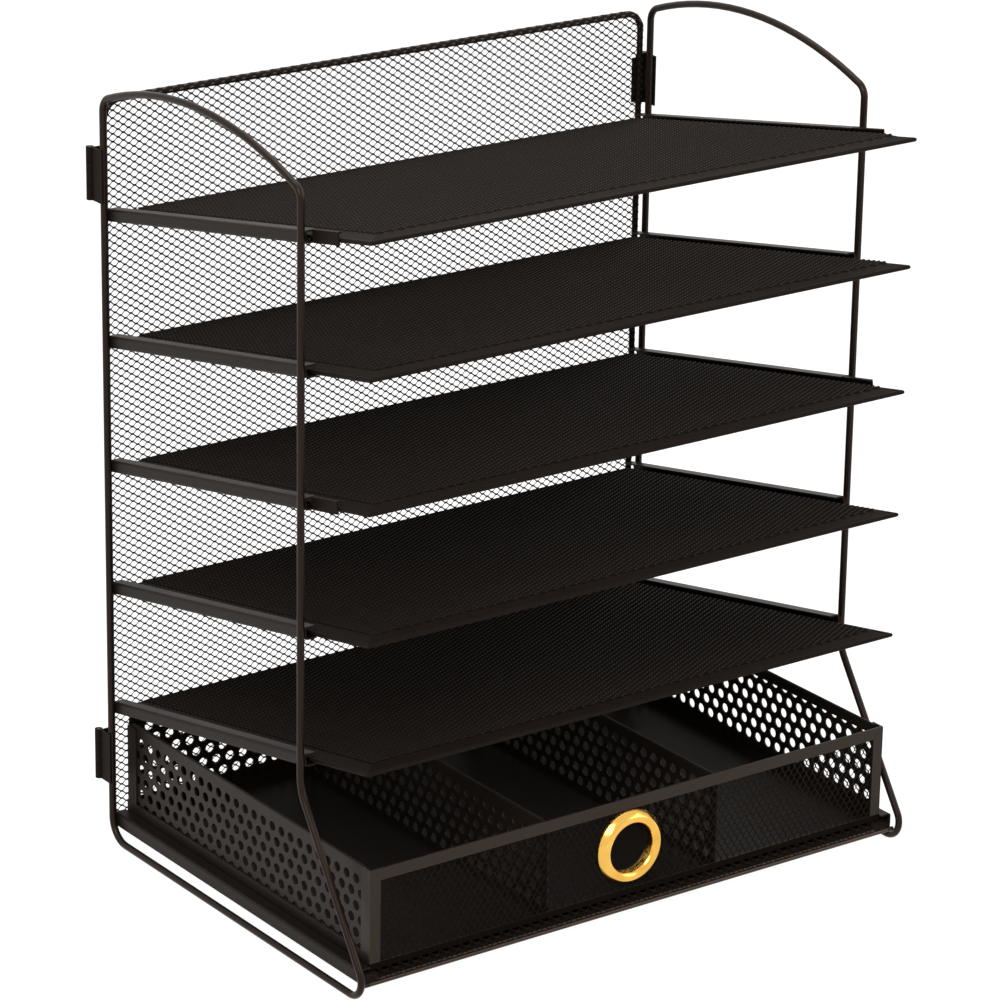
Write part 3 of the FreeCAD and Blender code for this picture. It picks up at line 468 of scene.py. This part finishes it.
def back_net():
    """The panel's expanded metal in two halves, its corners cut where the frame wire bends."""
    low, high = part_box("back_mesh")
    wide, tall = high.x - low.x, high.z - low.z
    upright = Matrix.Translation(middle("back_mesh")) @ Matrix.Rotation(math.pi / 2, 4, "X")
    for name, side_y in (("lower", -1), ("upper", 1)):
        bm = strand_net(wide, tall / 2)
        for side_x in (-1, 1):
            away = Vector((side_x, side_y, 0)).normalized()
            spot = Vector((side_x * wide / 2, side_y * (tall / 4 - NET_CORNER), 0))
            bmesh.ops.bisect_plane(bm, geom=bm.verts[:] + bm.edges[:] + bm.faces[:],
                                   plane_co=spot, plane_no=away, clear_outer=True)
        close_ends(bm)
        place = upright @ Matrix.Translation((0, side_y * tall / 4, 0))
        bmesh.ops.transform(bm, matrix=place, verts=bm.verts)
        new_piece("back_net_" + name, bm, NET_BLACK, "back_panel", ["back_mesh"])


def wrap_round(bm, path, radius):
    """Bends a flat net round a wire: its X follows the path, its Y the wire's girth."""
    ahead = Vector((0, -1, 0))
    for vert in bm.verts:
        place, outward = path(vert.co.x)
        angle = WRAP_MIDDLE + vert.co.y / radius
        reach = radius + vert.co.z
        vert.co = place + outward * reach * math.cos(angle) + ahead * reach * math.sin(angle)


def rolled_net(path, wire, long, girth, level):
    """The net's margin, flattened and rolled round the wire, its cells wide across the panel."""
    wide, high = (long, girth) if level else (girth, long)
    bm = strand_net(wide, high)
    close_ends(bm)
    bmesh.ops.scale(bm, vec=(1, 1, WRAP_FLAT), verts=bm.verts)
    if not level:
        quarter = Matrix.Rotation(math.pi / 2, 3, "Z")
        bmesh.ops.rotate(bm, verts=bm.verts, matrix=quarter)
    wrap_round(bm, path, wire + WRAP_LIFT)
    return bm


def rolled_sleeve(path, wire, long, girth):
    """A thin smooth sleeve round the wire, under the rolled net."""
    bm = bmesh.new()
    bmesh.ops.create_grid(bm, x_segments=SLEEVE_LONG, y_segments=SLEEVE_ROUND, size=0.5)
    bmesh.ops.scale(bm, vec=(long, girth, 1), verts=bm.verts)
    wrap_round(bm, path, wire + WRAP_LIFT * SLEEVE_OUT_SHARE)
    turn_faces_outwards(bm)
    bmesh.ops.solidify(bm, geom=bm.faces[:], thickness=WRAP_LIFT * SLEEVE_THICK_SHARE)
    turn_faces_outwards(bm)
    for face in bm.faces:
        face.smooth = True
    return bm


def panel_edges():
    """The net's margin on all four sides of the panel, each with the sleeve under it."""
    low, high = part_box("back_frame_wire")
    wire = (high.y - low.y) / 2
    half = high.x - wire
    run = half - PANEL_BEND
    centre = (low + high) / 2
    rise = (high.z - low.z) / 2 - wire

    def level_path(up):
        def path(along):
            over = abs(along) - run
            if over <= 0:
                return Vector((along, centre.y, centre.z + up * rise)), Vector((0, 0, up))
            turn, way = over / PANEL_BEND, math.copysign(1, along)
            outward = Vector((way * math.sin(turn), 0, up * math.cos(turn)))
            pivot = Vector((way * run, centre.y, centre.z + up * (rise - PANEL_BEND)))
            return pivot + outward * PANEL_BEND, outward
        return path

    def upright_path(way):
        def path(along):
            return Vector((way * half, centre.y, centre.z + along)), Vector((way, 0, 0))
        return path

    girth = WRAP_TURN * wire
    level_run = 2 * run + math.pi * PANEL_BEND
    upright_run = 2 * (rise - PANEL_BEND)
    for name, path, long, level in (("top", level_path(1), level_run, True),
                                    ("bottom", level_path(-1), level_run, True),
                                    ("left", upright_path(-1), upright_run, False),
                                    ("right", upright_path(1), upright_run, False)):
        net = rolled_net(path, wire, long, girth, level)
        new_piece("panel_edge_" + name, net, EDGE_HIGHLIGHT_PAINT, "back_panel")
        sleeve = rolled_sleeve(path, wire, long, girth)
        new_piece("panel_sleeve_" + name, sleeve, NET_BLACK, "back_panel")


def leaf_wings():
    """The panel leaves' inner margins, which lie against the back of the net."""
    wire_low, wire_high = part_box("back_frame_wire")
    wire = (wire_high.y - wire_low.y) / 2
    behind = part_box("back_mesh")[1].y + WING_GAUGE / 2
    for level in ("upper", "lower"):
        for side, way in (("left", -1), ("right", 1)):
            low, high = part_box(level + "_" + side + "_panel_leaf")
            outer = wire_high.x - wire
            inner = outer - wire - WING_REACH[side]
            tall = (high.z - low.z) * WING_SHARE
            bm = bevelled_plate((outer - inner, WING_GAUGE, tall), WING_GAUGE / 4)
            spot = (way * (outer + inner) / 2, behind, (low.z + high.z) / 2)
            bmesh.ops.translate(bm, verts=bm.verts, vec=spot)
            name = level + "_" + side + "_leaf_wing"
            new_piece(name, bm, RIM_BLACK, "back_panel")


# The trays


def tray_nets():
    """The floors of the sloping trays."""
    low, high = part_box("tray_1_mesh")
    wide = high.x - low.x
    long = (high.y - low.y - TRAY_PLATE * math.sin(SLOPE)) / math.cos(SLOPE)
    for level in TRAYS:
        tray = "tray_" + str(level)
        bm = strand_net(wide, long)
        close_ends(bm)
        lay = Matrix.Translation(middle(tray + "_mesh")) @ Matrix.Rotation(-SLOPE, 4, "X")
        bmesh.ops.transform(bm, matrix=lay, verts=bm.verts)
        new_piece(tray + "_net", bm, NET_BLACK, tray, [tray + "_mesh"])


def base_net():
    """The floor of the level base tray."""
    low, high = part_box("base_tray_mesh")
    bm = strand_net(high.x - low.x, high.y - low.y)
    close_ends(bm)
    bmesh.ops.translate(bm, verts=bm.verts, vec=middle("base_tray_mesh"))
    new_piece("base_net", bm, NET_BLACK, "back_panel", ["base_tray_mesh"])


def lip_slope():
    """The front lip's slope: where it starts at the bead, the way it runs, and its angle."""
    low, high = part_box("base_front_lip")
    front = low.y + LIP_BEAD
    start = Vector((0, front + LIP_ROOT, low.z + LIP_BEAD))
    run = Vector((0, front + LIP_SLOPE_END, high.z)) - start
    return start, run, math.atan2(run.z, run.y)


def lip_net():
    """The base net's margin, laid down the slope of the front lip to its bead."""
    start, run, angle = lip_slope()
    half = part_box("drawer_front_frame")[1].x
    bm = strand_net(2 * half, run.length)
    close_ends(bm)
    lay = Matrix.Translation(start + run / 2) @ Matrix.Rotation(angle, 4, "X")
    lift = Matrix.Translation((0, 0, LIP_NET_LIFT))
    bmesh.ops.transform(bm, matrix=lay @ lift, verts=bm.verts)
    new_piece("lip_net", bm, NET_BLACK, "back_panel")


def lip_ends():
    """Small cheeks that carry the lip's slope on over its hooks, as far as the legs."""
    start, run, angle = lip_slope()
    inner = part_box("base_front_lip")[1].x - CHEEK_REACH
    for name, way in (("left", -1), ("right", 1)):
        hook_low, hook_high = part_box("base_" + name + "_hook")
        outer = max(abs(hook_low.x), abs(hook_high.x)) - CHEEK_GAP
        bm = bevelled_plate((outer - inner, run.length, CHEEK_GAUGE), CHEEK_ROUND)
        spot = start + run / 2 + Vector((way * (inner + outer) / 2, 0, 0))
        lay = Matrix.Translation(spot) @ Matrix.Rotation(angle, 4, "X")
        bmesh.ops.transform(bm, matrix=lay, verts=bm.verts)
        new_piece("lip_end_" + name, bm, NET_BLACK, "back_panel")


# The drawer


def front_net():
    """The drawer front's expanded metal, its diamonds upright, with room for the ring."""
    low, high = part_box("drawer_front_mesh")
    wide, tall = high.x - low.x, high.z - low.z
    bm = strand_net(tall, wide)
    place = Matrix.Translation(middle("drawer_front_mesh"))
    stand = Matrix.Rotation(math.pi / 2, 4, "X") @ Matrix.Rotation(math.pi / 2, 4, "Z")
    bmesh.ops.transform(bm, matrix=place @ stand, verts=bm.verts)
    hole = middle("ring_washer")
    inside = [vert for vert in bm.verts
              if math.hypot(vert.co.x - hole.x, vert.co.z - hole.z) < RING_ROOM]
    bmesh.ops.delete(bm, geom=inside, context="VERTS")
    close_ends(bm)
    new_piece("front_net", bm, NET_BLACK, "drawer", ["drawer_front_mesh"])


def ring_grommet():
    """The finger ring, turned from one section: a broad bevel, a face, the bore and its collar."""
    low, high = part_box("finger_ring")
    centre = (low + high) / 2
    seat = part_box("drawer_front_mesh")[0].y
    depth = seat - low.y
    outer = (high.x - low.x) / 2
    bore = outer - RING_WALL
    collar = bore + COLLAR_WALL
    section = [(outer - inset * MM, seat - share * depth) for inset, share in RING_RIM_SHARES]
    section += [(bore + outset * MM, seat - share * depth) for outset, share in RING_BORE_SHARES]
    section += [(bore, high.y), (collar, high.y), (collar, seat)]
    bm = bmesh.new()
    ring = [bm.verts.new((centre.x + reach, place, centre.z)) for reach, place in section]
    edges = [bm.edges.new((ring[i], ring[(i + 1) % len(ring)])) for i in range(len(ring))]
    bmesh.ops.spin(bm, geom=ring + edges, cent=centre, axis=(0, 1, 0), angle=math.tau,
                   steps=RING_STEPS, use_merge=True)
    turn_faces_outwards(bm)
    for face in bm.faces:
        face.smooth = abs(face.normal.y) < FLAT_FACING
    new_piece("ring_grommet", bm, RING_GOLD, "drawer", ["finger_ring"])


# Stage, light and camera


def pale_floor():
    """A pale floor that looks white to the camera but lights the rest softly."""
    bm = bmesh.new()
    bmesh.ops.create_grid(bm, x_segments=1, y_segments=1, size=FLOOR_HALF)
    bmesh.ops.translate(bm, verts=bm.verts, vec=(0, 0, cad_box[0][2]))
    floor = put_in("floor", mesh_from(bm, "floor"))
    paint = Paint("floor_paint")
    paint.surface(
        Base_Color=paint.blend(paint.noise(FLOOR_GRAIN), FLOOR_GREY, FLOOR_PALE),
        Roughness=0.8,
        Specular_IOR_Level=0.2,
    )
    shader = Value(paint, paint.shader.outputs[0])
    glow = paint.add("ShaderNodeEmission", {}, {"Color": WHITE, "Strength": FLOOR_GLOW})[0]
    shares = {0: paint.seen() * FLOOR_SEEN_SHARE, 1: shader, 2: glow}
    mixed = paint.add("ShaderNodeMixShader", {}, shares)[0]
    paint.join(mixed, paint.nodes["Material Output"].inputs["Surface"])
    floor.data.materials.append(paint.material)


def white_world():
    """A world that looks white to the camera but lights the rest softly."""
    world = bpy.data.worlds.new("studio")
    bpy.context.scene.world = world
    world.use_nodes = True
    tree = Tree(world.node_tree)
    background = tree.nodes["Background"]
    tree.join(WHITE, background.inputs["Color"])
    tree.join(SOFT_WORLD, background.inputs["Strength"])
    soft = Value(tree, background.outputs[0])
    white = tree.add("ShaderNodeBackground", {}, {"Color": WHITE, "Strength": WHITE_WORLD})[0]
    mixed = tree.add("ShaderNodeMixShader", {}, {0: tree.seen(), 1: soft, 2: white})[0]
    tree.join(mixed, tree.nodes["World Output"].inputs["Surface"])


def lights():
    """Three soft boxes that face the organizer."""
    for name, place, (wide, high), watts in LAMPS:
        light = bpy.data.lights.new(name, "AREA")
        light.shape = "RECTANGLE"
        light.size, light.size_y = wide, high
        light.energy = watts
        lamp = put_in(name, light)
        lamp.location = place
        lamp.rotation_euler = (LAMP_AIM - Vector(place)).to_track_quat("-Z", "Y").to_euler()


def camera():
    """Stands where the photograph was taken from, with the photograph's lens."""
    level = math.cos(PITCH)
    ahead = Vector((math.sin(YAW) * level, math.cos(YAW) * level, -math.sin(PITCH)))
    right = Vector((math.cos(YAW), -math.sin(YAW), 0))
    up = right.cross(ahead)
    turned_right = right * math.cos(ROLL) + up * math.sin(ROLL)
    turned_up = up * math.cos(ROLL) - right * math.sin(ROLL)
    view = bpy.data.cameras.new("camera")
    view.sensor_width = SENSOR
    view.lens = SENSOR * LENS_SHARE
    view.clip_start, view.clip_end = CLIP_NEAR, CLIP_FAR
    seen_from = put_in("camera", view)
    turn = Matrix((turned_right, turned_up, -ahead)).transposed().to_4x4()
    seen_from.matrix_world = Matrix.Translation(EYE) @ turn
    bpy.context.scene.camera = seen_from


paint_nodes()
back_net()
panel_edges()
leaf_wings()
tray_nets()
base_net()
lip_net()
lip_ends()
front_net()
ring_grommet()
pale_floor()
white_world()
lights()
camera()
bpy.context.scene.view_settings.view_transform = "Standard"
